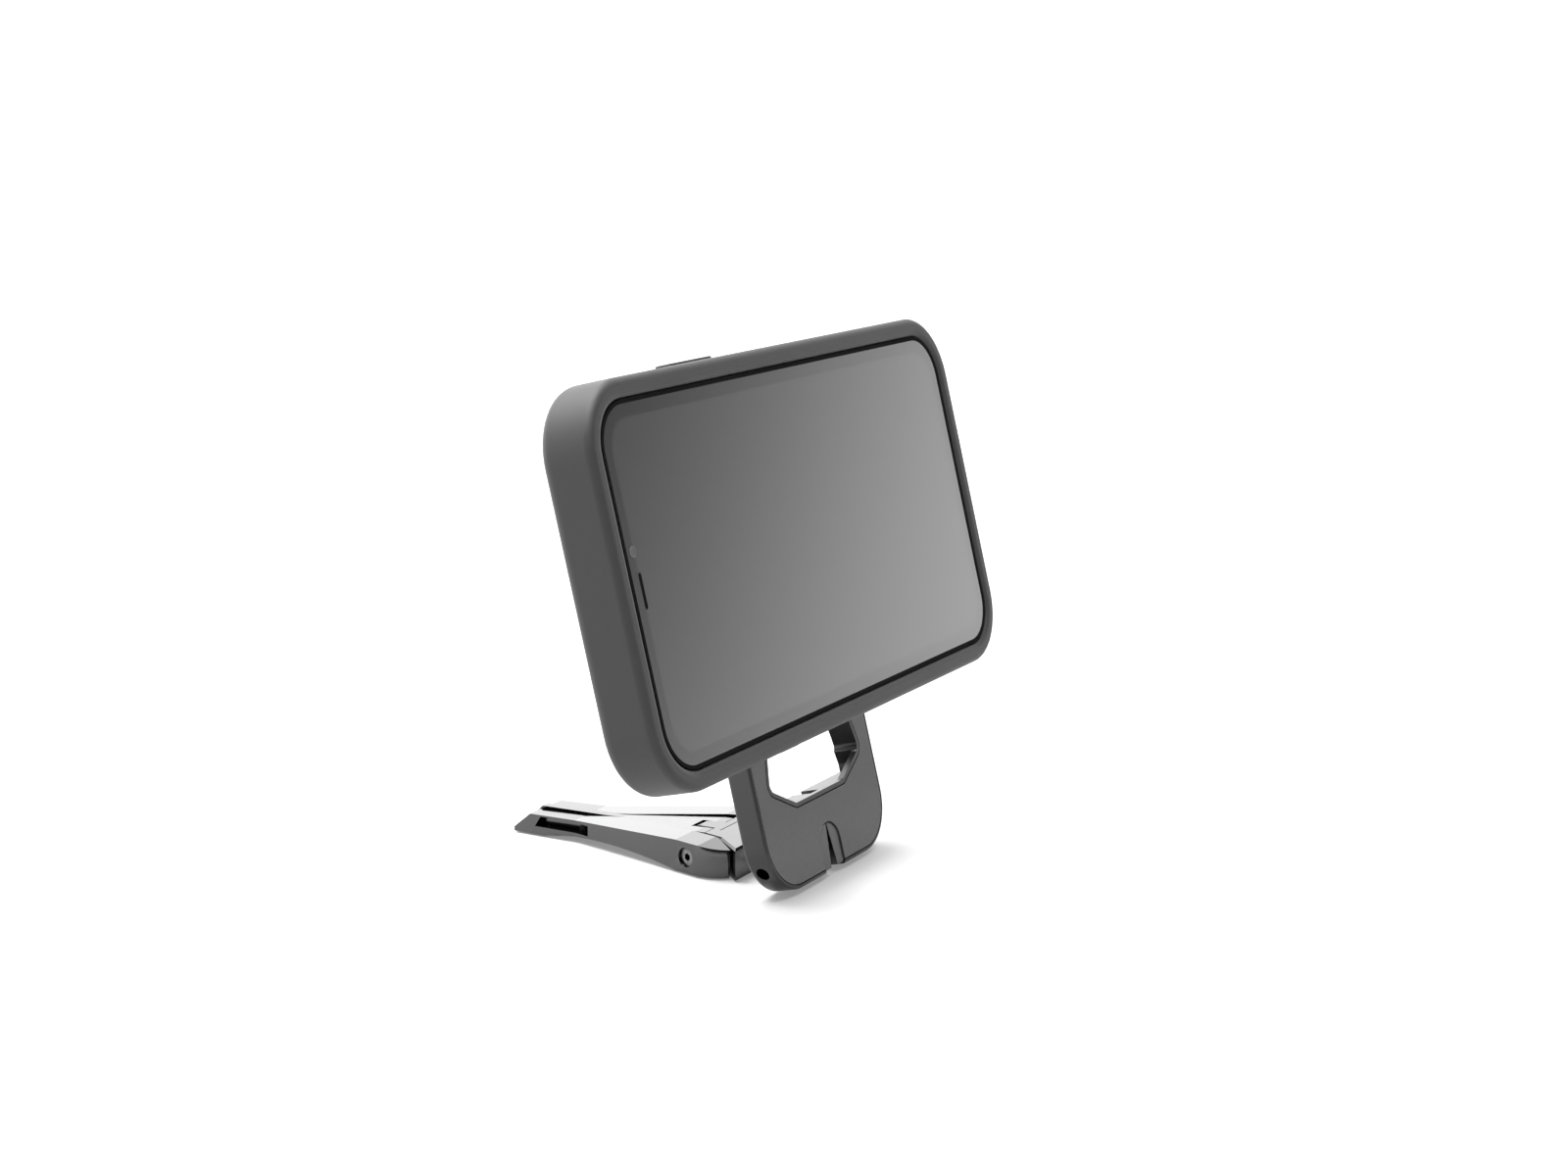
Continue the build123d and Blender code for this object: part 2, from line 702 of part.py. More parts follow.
with BuildPart() as left_leg:
    with BuildSketch(Plane.XY):
        with BuildLine():
            TangentArc(
                leg_point(0, -nose_round),
                leg_point(nose_tip, -nose_end),
                tangent=(-yaw_sin, -yaw_cos),
            )
            Polyline(
                leg_point(nose_tip, -nose_end),
                leg_point(leg_width, -nose_inner),
                leg_point(leg_width, (-tip_inner + leg_x - leg_width * yaw_cos) / yaw_sin),
                (-tip_inner, behind(leg_reach)),
                (-tip_half_width, behind(leg_reach)),
                (outer_x(knee_y), behind(knee_y)),
                leg_point(0, -nose_round),
            )
        make_face()
    extrude(amount=leg_top)
    # side view: flat knuckle, arched underside, nose falling in front, slanted tip
    with BuildSketch(Plane.YZ.offset(-plate_width)):
        with BuildLine():
            Line((behind(0), leg_top - 2 * facet_drop), (behind(facet_start), leg_top))
            Polyline(
                (behind(facet_start), leg_top),
                (behind(knuckle_end), leg_top),
                (behind(knee_y), knee_height),
                (behind(leg_reach - tip_slope), tip_height),
                (behind(leg_reach), leg_floor + tip_face),
                (behind(leg_reach), leg_floor),
                (behind(leg_reach - foot_length - 2 * foot_inset), leg_floor),
            )
            ThreePointArc(
                (behind(leg_reach - foot_length - 2 * foot_inset), leg_floor),
                (behind((leg_reach + knuckle_end) / 2 - foot_length), leg_floor + arch_rise),
                (behind(knuckle_end), leg_floor),
            )
            Polyline(
                (behind(knuckle_end), leg_floor),
                (behind(0), leg_floor),
                (behind(0), leg_top - 2 * facet_drop),
            )
        make_face()
    extrude(amount=plate_width, mode=Mode.INTERSECT)
    add(nose_trim.part, mode=Mode.SUBTRACT)
    # grip notch in the outer face, under the top skin, and its ramp towards the knuckle
    with BuildSketch(Plane.YZ.offset(notch_depth - tip_half_width)):
        with BuildLine():
            Polyline(
                (behind(notch_start), notch_low),
                (behind(notch_start - notch_slant), notch_high),
                (behind(notch_ramp - notch_slant), notch_high),
                (behind(notch_ramp), notch_low),
                close=True,
            )
        make_face()
    extrude(amount=-plate_width, mode=Mode.SUBTRACT)
    with BuildSketch(Plane.XY.offset(notch_low)):
        with BuildLine():
            Polyline(
                (-2 * tip_half_width, behind(notch_ramp)),
                (notch_depth - tip_half_width, behind(notch_ramp)),
                (outer_x(notch_end), behind(notch_end)),
                (-2 * tip_half_width, behind(notch_end)),
                close=True,
            )
        make_face()
    extrude(amount=notch_high - notch_low, mode=Mode.SUBTRACT)
    # screw hole: through bore and counterbore
    with BuildSketch(pivot_plane(-1)):
        Circle(pivot_radius + running_gap)
    extrude(amount=leg_width, mode=Mode.SUBTRACT)
    with BuildSketch(pivot_plane(-1)):
        Circle(pivot_head + running_gap)
    extrude(amount=pivot_recess + pivot_head_height, mode=Mode.SUBTRACT)
    # seat for the rubber foot
    with BuildSketch(Plane.XY):
        with Locations((-(tip_half_width + tip_inner) / 2, behind(foot_end - foot_length / 2))):
            Rectangle(
                tip_half_width - tip_inner - 2 * foot_inset + 2 * seat_gap, foot_length + 2 * seat_gap
            )
    extrude(amount=pad_height, mode=Mode.SUBTRACT)
right_leg_solid = mirror(left_leg.part, about=mirror_plane)

with BuildPart() as left_foot:
    with BuildSketch(Plane.XY):
        with Locations((-(tip_half_width + tip_inner) / 2, behind(foot_end - foot_length / 2))):
            Rectangle(tip_half_width - tip_inner - 2 * foot_inset, foot_length)
    extrude(amount=pad_height - seat_gap)
right_foot_solid = mirror(left_foot.part, about=mirror_plane)

with BuildPart() as left_pivot_screw:
    with BuildSketch(pivot_plane(-1).offset(pivot_recess)):
        Circle(pivot_head)
    extrude(amount=pivot_head_height - seat_gap)
    with BuildSketch(pivot_plane(-1).offset(pivot_recess)):
        Circle(pivot_radius)
    extrude(amount=leg_width - pivot_recess + leg_gap + pivot_depth)
    with BuildSketch(pivot_plane(-1).offset(pivot_recess)):
        RegularPolygon(pivot_hex / 2, 6, major_radius=False)
    extrude(amount=pivot_hex_depth, mode=Mode.SUBTRACT)
right_screw_solid = mirror(left_pivot_screw.part, about=mirror_plane)

for name, left, right_solid in (
    ("leg", left_leg, right_leg_solid),
    ("foot", left_foot, right_foot_solid),
    ("pivot_screw", left_pivot_screw, right_screw_solid),
):
    left.part.label = f"left_{name}"
    right_solid.label = f"right_{name}"
    export_step(left.part, f"parts/left_{name}.step")
    export_step(right_solid, f"parts/right_{name}.step")

# ---------------------------------------------------------------- centre leg

centre_front = pin_y - fork_round
# beside the pin the leg keeps the width of the gap behind it, to turn clear of the side legs
shoulder_y = pin_y + centre_top - pin_z
centre_shoulder = -inner_x(shoulder_y) - centre_clear
centre_knee_y = leg_pivot_y + (leg_x - leg_width / yaw_cos - centre_clear - centre_half_tip) / leg_slope
with BuildPart() as centre_leg:
    with BuildSketch(Plane.XY):
        with BuildLine():
            Polyline(
                (-centre_shoulder, behind(centre_front)),
                (centre_shoulder, behind(centre_front)),
                (centre_shoulder, behind(shoulder_y)),
                (centre_half_tip, behind(centre_knee_y)),
                (centre_half_tip, behind(leg_reach)),
                (-centre_half_tip, behind(leg_reach)),
                (-centre_half_tip, behind(centre_knee_y)),
                (-centre_shoulder, behind(shoulder_y)),
                close=True,
            )
        make_face()
    extrude(amount=leg_top)
    with BuildSketch(Plane.YZ.offset(-plate_width)):
        with BuildLine():
            Polyline(
                (behind(centre_front), pin_z),
                (behind(centre_front), centre_top),
                (behind(knuckle_end), centre_top),
                (behind(centre_knee_y), centre_knee),
                (behind(leg_reach - tip_slope), centre_tip),
                (behind(leg_reach), leg_floor + tip_face),
                (behind(leg_reach), leg_floor),
                (behind(leg_reach - foot_length - 2 * foot_inset), leg_floor),
            )
            ThreePointArc(
                (behind(leg_reach - foot_length - 2 * foot_inset), leg_floor),
                (behind((leg_reach + knuckle_end) / 2 - foot_length), leg_floor + arch_rise),
                (behind(knuckle_end + fork_round), leg_floor),
            )
            Line((behind(knuckle_end + fork_round), leg_floor), (behind(pin_y), pin_z - fork_round))
            CenterArc((behind(pin_y), pin_z), fork_round, 180, 90)
        make_face()
    extrude(amount=2 * plate_width, mode=Mode.INTERSECT)
    # fork for the hub's tongue, and the pin's hole
    with BuildSketch(Plane.XY):
        with Locations((0, behind(pin_y))):
            Rectangle(2 * (tongue_half + body_gap), 2 * fork_round)
        with Locations((0, behind(pin_y + fork_round))):
            Rectangle(
                2 * (tongue_half + body_gap), 2 * (fork_round - tongue_round - body_gap), mode=Mode.SUBTRACT
            )
    extrude(amount=leg_top, mode=Mode.SUBTRACT)
    with BuildSketch(Plane.YZ.offset(-plate_width)):
        with Locations((behind(pin_y), pin_z)):
            Circle(pin_radius + seat_gap)
    extrude(amount=2 * plate_width, mode=Mode.SUBTRACT)
    with BuildSketch(Plane.XY):
        with Locations((0, behind(foot_end - foot_length / 2))):
            Rectangle(2 * (centre_half_tip - foot_inset) + 2 * seat_gap, foot_length + 2 * seat_gap)
    extrude(amount=pad_height, mode=Mode.SUBTRACT)
centre_leg.part.label = "centre_leg"
export_step(centre_leg.part, "parts/centre_leg.step")

with BuildPart() as centre_foot:
    with BuildSketch(Plane.XY):
        with Locations((0, behind(foot_end - foot_length / 2))):
            Rectangle(2 * (centre_half_tip - foot_inset), foot_length)
    extrude(amount=pad_height - seat_gap)
centre_foot.part.label = "centre_foot"
export_step(centre_foot.part, "parts/centre_foot.step")

pin_half = centre_shoulder - body_gap
with BuildPart() as centre_pin:
    with BuildSketch(Plane.YZ.offset(-pin_half)):
        with Locations((behind(pin_y), pin_z)):
            Circle(pin_radius)
    extrude(amount=2 * pin_half)
centre_pin.part.label = "centre_pin"
export_step(centre_pin.part, "parts/centre_pin.step")

# ---------------------------------------------------------------- case

camera_low = case_back - camera_height - lens_height
camera_hole = camera_size + 2 * camera_margin
with BuildPart() as case_shell:
    with BuildSketch(on_phone(0)):
        RectangleRounded(case_length, case_width, case_corner)
    extrude(amount=case_thickness)
    fillet(case_shell.faces().sort_by(phone_axis)[0].edges(), back_round)
    # cavity for the handset, seat for the lining, recess for the outer panel
    with BuildSketch(on_phone(case_back)):
        RectangleRounded(
            phone_length + 2 * case_fit, phone_width + 2 * case_fit, phone_corner + case_fit
        )
    extrude(amount=case_thickness, mode=Mode.SUBTRACT)
    fillet(case_shell.faces().sort_by(phone_axis)[-1].edges(), lip_round)
    with BuildSketch(on_phone(case_back - lining_thickness)):
        RectangleRounded(
            phone_length - 2 * lining_inset, phone_width - 2 * lining_inset, phone_corner - lining_inset
        )
    extrude(amount=lining_thickness, mode=Mode.SUBTRACT)
    with BuildSketch(on_phone(0)):
        RectangleRounded(
            case_length - 2 * panel_inset, case_width - 2 * panel_inset, case_corner - panel_inset
        )
    extrude(amount=panel_thickness + seat_gap, mode=Mode.SUBTRACT)
    with BuildSketch(on_phone(0)):
        Circle(ring_outer + seat_gap)
        Circle(ring_inner - seat_gap, mode=Mode.SUBTRACT)
    extrude(amount=panel_thickness + ring_thickness + 2 * seat_gap, mode=Mode.SUBTRACT)
    # camera opening
    with BuildSketch(on_phone(0)):
        with Locations((camera_x, camera_y)):
            RectangleRounded(camera_hole, camera_hole, camera_corner)
    extrude(amount=case_back, mode=Mode.SUBTRACT)
    # apertures for the key caps, the ring switch and the charge inlet
    for side, x, length in (
        (1, side_key_x, side_cap_length),
        (-1, volume_up_x, volume_cap_length),
        (-1, volume_down_x, volume_cap_length),
    ):
        with BuildSketch(phone_edge_plane(side, x, phone_width / 2)):
            SlotOverall(length + 2 * body_gap, cap_height + 2 * body_gap)
        extrude(amount=2 * case_wall, mode=Mode.SUBTRACT)
    with BuildSketch(phone_edge_plane(-1, switch_x, phone_width / 2)):
        RectangleRounded(switch_cut_length, switch_cut_height, switch_cut_corner)
    extrude(amount=2 * case_wall, mode=Mode.SUBTRACT)
    with BuildSketch(inlet_plane(0)):
        RectangleRounded(inlet_cut_width, inlet_cut_height, inlet_cut_corner)
    extrude(amount=2 * case_wall, mode=Mode.SUBTRACT)
case_shell.part.label = "case_shell"
export_step(case_shell.part, "parts/case_shell.step")

with BuildPart() as case_back_panel:
    with BuildSketch(on_phone(0)):
        inset = panel_inset + inlay_gap
        RectangleRounded(case_length - 2 * inset, case_width - 2 * inset, case_corner - inset)
        with Locations((camera_x, camera_y)):
            RectangleRounded(camera_hole, camera_hole, camera_corner, mode=Mode.SUBTRACT)
    extrude(amount=panel_thickness)
case_back_panel.part.label = "case_back_panel"
export_step(case_back_panel.part, "parts/case_back_panel.step")

with BuildPart() as case_magnet_ring:
    with BuildSketch(on_phone(panel_thickness + seat_gap)):
        Circle(ring_outer)
        Circle(ring_inner, mode=Mode.SUBTRACT)
        with Locations((camera_x, camera_y)):
            ring_cut = camera_hole + 2 * ring_camera_gap
            Rectangle(ring_cut, ring_cut, mode=Mode.SUBTRACT)
    extrude(amount=ring_thickness)
case_magnet_ring.part.label = "case_magnet_ring"
export_step(case_magnet_ring.part, "parts/case_magnet_ring.step")

with BuildPart() as case_lining:
    with BuildSketch(on_phone(case_back - lining_thickness)):
        inset = lining_inset + seat_gap
        RectangleRounded(phone_length - 2 * inset, phone_width - 2 * inset, phone_corner - inset)
        with Locations((camera_x, camera_y)):
            lining_hole = camera_hole + 2 * lining_camera_gap
            RectangleRounded(lining_hole, lining_hole, camera_corner, mode=Mode.SUBTRACT)
    extrude(amount=lining_thickness - seat_gap)
case_lining.part.label = "case_lining"
export_step(case_lining.part, "parts/case_lining.step")

# ---------------------------------------------------------------- handset

phone_top = case_back + phone_thickness
frame_low = case_back + back_glass_thickness
frame_high = phone_top - glass_thickness
deck_height = phone_top - glass_thickness - display_thickness - deck_thickness - 2 * seat_gap
inner_length = phone_length - 2 * frame_wall
inner_width = phone_width - 2 * frame_wall

with BuildPart() as phone_frame:
    with BuildSketch(on_phone(frame_low)):
        RectangleRounded(phone_length, phone_width, phone_corner)
    extrude(amount=frame_high - frame_low)
    with BuildSketch(on_phone(frame_low)):
        RectangleRounded(inner_length, inner_width, phone_corner - frame_wall)
    extrude(amount=deck_height - frame_low, mode=Mode.SUBTRACT)
    with BuildSketch(on_phone(deck_height + deck_thickness)):
        RectangleRounded(inner_length, inner_width, phone_corner - frame_wall)
    extrude(amount=phone_thickness, mode=Mode.SUBTRACT)
    for side, x, length in (
        (1, side_key_x, side_key_length),
        (-1, volume_up_x, volume_key_length),
        (-1, volume_down_x, volume_key_length),
    ):
        with BuildSketch(phone_edge_plane(side, x, phone_width / 2 - frame_wall)):
            SlotOverall(length + 2 * seat_gap, key_height + 2 * seat_gap)
        extrude(amount=2 * frame_wall, mode=Mode.SUBTRACT)
    with BuildSketch(phone_edge_plane(-1, switch_x, phone_width / 2 - frame_wall)):
        Rectangle(switch_length + 2 * seat_gap, key_height + switch_travel / 2)
    extrude(amount=2 * frame_wall, mode=Mode.SUBTRACT)
    with BuildSketch(inlet_plane(-inlet_depth - seat_gap)):
        SlotOverall(inlet_width + 2 * seat_gap, inlet_height + 2 * seat_gap)
    extrude(amount=2 * inlet_depth, mode=Mode.SUBTRACT)
phone_frame.part.label = "phone_frame"
export_step(phone_frame.part, "parts/phone_frame.step")


def phone_plate(height, thickness, inset):
    """Flat sheet with the handset's rounded outline."""
    with BuildPart() as sheet:
        with BuildSketch(on_phone(height)):
            RectangleRounded(phone_length - 2 * inset, phone_width - 2 * inset, phone_corner - inset)
        extrude(amount=thickness)
    return sheet


cover_glass = phone_plate(frame_high, glass_thickness, 0)
cover_glass.part.label = "cover_glass"
export_step(cover_glass.part, "parts/cover_glass.step")

display_panel = phone_plate(
    frame_high - display_thickness - seat_gap, display_thickness, frame_wall + seat_gap
)
display_panel.part.label = "display_panel"
export_step(display_panel.part, "parts/display_panel.step")

back_glass = phone_plate(case_back, back_glass_thickness, 0)
back_glass.part.label = "back_glass"
export_step(back_glass.part, "parts/back_glass.step")


def inner_block(x, y, length, width, low, height):
    """Block in the chamber between the back glass and the deck."""
    with BuildPart() as block:
        with BuildSketch(on_phone(low)):
            with Locations((x, y)):
                RectangleRounded(length, width, block_corner)
        extrude(amount=height)
    return block


chamber_low = frame_low + seat_gap
chamber_height = deck_height - frame_low - 2 * seat_gap
module_x = inner_length / 2 - module_gap - module_length / 2
earpiece_x = module_gap + earpiece_length / 2 - inner_length / 2
battery_low = chamber_low + coil_height + seat_gap
battery_height = chamber_height - coil_height - 2 * seat_gap

for name, x, y, length, width, low, height in (
    ("battery", battery_x, 0, battery_length, battery_width, battery_low, battery_height),
    (
        "logic_board",
        board_from_end - phone_length / 2,
        board_y,
        board_length,
        board_width,
        chamber_low,
        chamber_height - board_room,
    ),
    ("loudspeaker", module_x, speaker_y, module_length, speaker_width, chamber_low, chamber_height),
    ("vibration_motor", module_x, motor_y, module_length, motor_width, chamber_low, chamber_height),
    (
        "earpiece",
        earpiece_x,
        earpiece_y,
        earpiece_length,
        earpiece_width,
        chamber_low,
        chamber_height,
    ),
):
    module = inner_block(x, y, length, width, low, height)
    module.part.label = name
    export_step(module.part, f"parts/{name}.step")

with BuildPart() as charging_coil:
    with BuildSketch(on_phone(chamber_low)):
        Circle(coil_outer)
        Circle(coil_inner, mode=Mode.SUBTRACT)
        # flat side towards the logic board
        with Locations((-coil_outer - coil_flat, 0)):
            Rectangle(2 * coil_outer, 2 * coil_outer, mode=Mode.SUBTRACT)
    extrude(amount=coil_height)
charging_coil.part.label = "charging_coil"
export_step(charging_coil.part, "parts/charging_coil.step")

with BuildPart() as rear_camera:
    with BuildSketch(on_phone(case_back - camera_height)):
        with Locations((camera_x, camera_y)):
            RectangleRounded(camera_size, camera_size, camera_corner - camera_margin)
    extrude(amount=camera_height)
    fillet(rear_camera.faces().sort_by(phone_axis)[0].edges(), camera_round)
rear_camera.part.label = "rear_camera"
export_step(rear_camera.part, "parts/rear_camera.step")

lens_step = camera_size / 4
with BuildPart() as camera_lenses:
    with BuildSketch(on_phone(camera_low)):
        with Locations(
            (camera_x - lens_step, camera_y + lens_step),
            (camera_x + lens_step, camera_y + lens_step),
            (camera_x, camera_y - lens_step),
        ):
            Circle(lens_radius)
    extrude(amount=lens_height)
camera_lenses.part.label = "camera_lenses"
export_step(camera_lenses.part, "parts/camera_lenses.step")

with BuildPart() as charge_inlet:
    with BuildSketch(inlet_plane(0)):
        SlotOverall(inlet_width, inlet_height)
        offset(amount=-inlet_wall, mode=Mode.SUBTRACT)
    extrude(amount=-inlet_depth)
charge_inlet.part.label = "charge_inlet"
export_step(charge_inlet.part, "parts/charge_inlet.step")


def phone_key(side, x, length):
    """Key through the frame's wall, with a flange inside that stops it."""
    with BuildPart() as key:
        with BuildSketch(phone_edge_plane(side, x, phone_width / 2 + key_proud)):
            SlotOverall(length, key_height)
        extrude(amount=-(frame_wall + key_proud + seat_gap))
        with BuildSketch(phone_edge_plane(side, x, phone_width / 2 - frame_wall - seat_gap)):
            SlotOverall(length + 2 * key_flange_lip, key_height)
        extrude(amount=-key_flange)
    return key


def key_cap(side, x, length):
    """Cap in the case's wall, resting on the key."""
    start = phone_width / 2 + key_proud
    with BuildPart() as cap:
        with BuildSketch(phone_edge_plane(side, x, start)):
            SlotOverall(length, cap_height)
        extrude(amount=case_width / 2 + cap_proud - start)
        outer = phone_plane.y_dir * side
        fillet(cap.faces().sort_by(Axis(phone_origin, outer))[-1].edges(), cap_round)
    return cap


for name, side, x, key_length, cap_length in (
    ("side", 1, side_key_x, side_key_length, side_cap_length),
    ("volume_up", -1, volume_up_x, volume_key_length, volume_cap_length),
    ("volume_down", -1, volume_down_x, volume_key_length, volume_cap_length),
):
    key = phone_key(side, x, key_length)
    key.part.label = f"{name}_key"
    export_step(key.part, f"parts/{name}_key.step")
    cap = key_cap(side, x, cap_length)
    cap.part.label = f"{name}_key_cap"
    export_step(cap.part, f"parts/{name}_key_cap.step")

with BuildPart() as ring_switch:
    with BuildSketch(phone_edge_plane(-1, switch_x, phone_width / 2 + key_proud)):
        with Locations((0, switch_travel / 2)):
            Rectangle(switch_length, key_height - switch_travel)
    extrude(amount=-(frame_wall + key_proud + seat_gap))
    with BuildSketch(phone_edge_plane(-1, switch_x, phone_width / 2 - frame_wall - seat_gap)):
        Rectangle(switch_length + 2 * key_flange_lip, key_height)
    extrude(amount=-key_flange)
ring_switch.part.label = "ring_switch"
export_step(ring_switch.part, "parts/ring_switch.step")
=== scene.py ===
"""Finishes and small visible details of a cased handset on its folding magnetic stand."""

import json
from math import cos, pi, radians, sin

import bpy
from mathutils import Matrix, Vector


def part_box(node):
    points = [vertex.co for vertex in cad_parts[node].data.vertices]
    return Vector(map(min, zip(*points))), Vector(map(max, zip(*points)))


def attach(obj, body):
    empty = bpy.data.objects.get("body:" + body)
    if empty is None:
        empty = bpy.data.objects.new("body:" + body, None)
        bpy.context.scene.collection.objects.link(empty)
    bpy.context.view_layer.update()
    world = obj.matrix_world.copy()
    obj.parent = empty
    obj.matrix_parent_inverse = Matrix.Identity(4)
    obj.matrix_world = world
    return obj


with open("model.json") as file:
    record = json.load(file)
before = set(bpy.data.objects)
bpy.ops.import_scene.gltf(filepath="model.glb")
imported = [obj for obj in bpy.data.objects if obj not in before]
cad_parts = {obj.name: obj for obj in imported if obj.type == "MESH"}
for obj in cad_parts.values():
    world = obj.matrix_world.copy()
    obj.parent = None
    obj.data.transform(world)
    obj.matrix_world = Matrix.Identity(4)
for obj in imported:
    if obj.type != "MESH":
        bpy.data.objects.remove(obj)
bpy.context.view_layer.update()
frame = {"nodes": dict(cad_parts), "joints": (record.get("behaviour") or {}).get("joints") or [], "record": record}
MM = 0.001

# ---------------------------------------------------------------- places taken from the frame

JOINTS = {joint["name"]: joint for joint in frame["joints"]}
plate_normal = Vector(JOINTS["handset_turn"]["axis"]).normalized()
plate_up = plate_normal.cross(Vector((1, 0, 0))).normalized()
lean_turn = Matrix((Vector((1, 0, 0)), plate_up, plate_normal)).transposed()
lean_angle = lean_turn.to_euler().x

# The screen's glass leans, so its half width comes out of its upright box.
GLASS_THICKNESS = 0.8 * MM
GLASS_CORNER = 9.8 * MM
glass_low, glass_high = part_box("cover_glass")
glass_half_length = (glass_high.x - glass_low.x) / 2
glass_middle = (glass_low + glass_high) / 2
glass_top = glass_middle + plate_normal * GLASS_THICKNESS / 2
glass_half_width = (
    (glass_high.z - glass_low.z) - GLASS_THICKNESS * abs(plate_normal.z)
) / (2 * plate_up.z)


def on_glass(x, up, out):
    """Point a distance along, up and out from the middle of the screen's outer face."""
    return glass_top + Vector((x, 0, 0)) + plate_up * up + plate_normal * out


# ---------------------------------------------------------------- node groups


def new_group(name, inputs, outputs):
    """Empty shader group with number inputs (name, value) and number outputs (name)."""
    tree = bpy.data.node_groups.new(name, "ShaderNodeTree")
    for label, value in inputs:
        socket = tree.interface.new_socket(label, in_out="INPUT", socket_type="NodeSocketFloat")
        socket.default_value = value
    for label in outputs:
        tree.interface.new_socket(label, in_out="OUTPUT", socket_type="NodeSocketFloat")
    return tree, tree.nodes.new("NodeGroupInput"), tree.nodes.new("NodeGroupOutput")


def feed(tree, value, socket):
    """Links a socket to an input, or sets the input to a number."""
    if isinstance(value, bpy.types.NodeSocket):
        tree.links.new(value, socket)
    else:
        socket.default_value = value


def maths(tree, operation, *values):
    """Math node whose inputs are sockets or numbers; returns its output."""
    node = tree.nodes.new("ShaderNodeMath")
    node.operation = operation
    for value, socket in zip(values, node.inputs):
        feed(tree, value, socket)
    return node.outputs[0]


def map_range(tree, value, from_low, from_high, to_low=0.0, to_high=1.0):
    """Map Range node, clamped; each limit is a socket or a number."""
    node = tree.nodes.new("ShaderNodeMapRange")
    tree.links.new(value, node.inputs["Value"])
    limits = {"From Min": from_low, "From Max": from_high, "To Min": to_low, "To Max": to_high}
    for label, limit in limits.items():
        feed(tree, limit, node.inputs[label])
    return node.outputs["Result"]


def noise_at(tree, scale, detail=2):
    """Noise over Object coordinates at a scale that is a socket or a number; returns its value."""
    place = tree.nodes.new("ShaderNodeTexCoord")
    noise = tree.nodes.new("ShaderNodeTexNoise")
    tree.links.new(place.outputs["Object"], noise.inputs["Vector"])
    feed(tree, scale, noise.inputs["Scale"])
    noise.inputs["Detail"].default_value = detail
    return noise.outputs["Fac"]


def blend_values(tree, share, first, second):
    """Mix of two number sockets, where share is the second one's part."""
    mix = tree.nodes.new("ShaderNodeMix")
    tree.links.new(share, mix.inputs["Factor"])
    tree.links.new(first, mix.inputs["A"])
    tree.links.new(second, mix.inputs["B"])
    return mix.outputs["Result"]


def edge_wear_group():
    """Bright worn edges, broken up by noise: a mask from 0 to 1."""
    tree, source, sink = new_group("edge_wear", [("Amount", 0.5), ("Breakup Scale", 900.0)], ["Mask"])
    ridge_start, ridge_full = 0.53, 0.62
    break_start, break_full = 0.35, 0.65
    geometry = tree.nodes.new("ShaderNodeNewGeometry")
    ridge = map_range(tree, geometry.outputs["Pointiness"], ridge_start, ridge_full)
    noise = noise_at(tree, source.outputs["Breakup Scale"], detail=4)
    broken = map_range(tree, noise, break_start, break_full)
    worn = maths(tree, "MULTIPLY", ridge, broken)
    tree.links.new(maths(tree, "MULTIPLY", worn, source.outputs["Amount"]), sink.inputs["Mask"])
    return tree


def crevice_group():
    """Painted shade: a factor from ambient occlusion that falls to 0 in narrow gaps and corners and is 1 on open
    faces.
    """
    tree, source, sink = new_group("crevice_shade", [("Reach", 0.8 * MM), ("Depth", 1.5)], ["Open"])
    hollow = tree.nodes.new("ShaderNodeAmbientOcclusion")
    hollow.samples = 8
    tree.links.new(source.outputs["Reach"], hollow.inputs["Distance"])
    shade = maths(tree, "POWER", hollow.outputs["AO"], source.outputs["Depth"])
    tree.links.new(shade, sink.inputs["Open"])
    return tree


def fine_grain_group():
    """Grain at two scales: a value about one half for colour, and a height for bump."""
    tree, source, sink = new_group(
        "fine_grain",
        [("Grain Scale", 6000.0), ("Cloud Scale", 90.0), ("Cloud Share", 0.5)],
        ["Value", "Height"],
    )
    grain = noise_at(tree, source.outputs["Grain Scale"], detail=3)
    cloud = noise_at(tree, source.outputs["Cloud Scale"], detail=3)
    value = blend_values(tree, source.outputs["Cloud Share"], grain, cloud)
    tree.links.new(value, sink.inputs["Value"])
    tree.links.new(grain, sink.inputs["Height"])
    return tree


def handset_place(tree):
    """Object coordinates laid out on the screen: x along it, y up it; returns the two."""
    place = tree.nodes.new("ShaderNodeTexCoord")
    mapping = tree.nodes.new("ShaderNodeMapping")
    mapping.vector_type = "TEXTURE"
    mapping.inputs["Location"].default_value = glass_top
    mapping.inputs["Rotation"].default_value = (lean_angle, 0, 0)
    tree.links.new(place.outputs["Object"], mapping.inputs["Vector"])
    split = tree.nodes.new("ShaderNodeSeparateXYZ")
    tree.links.new(mapping.outputs["Vector"], split.inputs["Vector"])
    return split.outputs["X"], split.outputs["Y"]


def weave_group():
    """Plain weave seen square on to the handset's back: height and a colour value."""
    tree, source, sink = new_group(
        "plain_weave", [("Threads per Metre", 1800.0), ("Unevenness", 0.3)], ["Value", "Height"]
    )
    fray_scale = 700
    turns = maths(tree, "MULTIPLY", source.outputs["Threads per Metre"], pi)
    waves = [maths(tree, "SINE", maths(tree, "MULTIPLY", along, turns)) for along in handset_place(tree)]
    height = maths(tree, "MULTIPLY_ADD", maths(tree, "MULTIPLY", *waves), 0.5, 0.5)
    value = blend_values(tree, source.outputs["Unevenness"], height, noise_at(tree, fray_scale))
    tree.links.new(value, sink.inputs["Value"])
    tree.links.new(height, sink.inputs["Height"])
    return tree


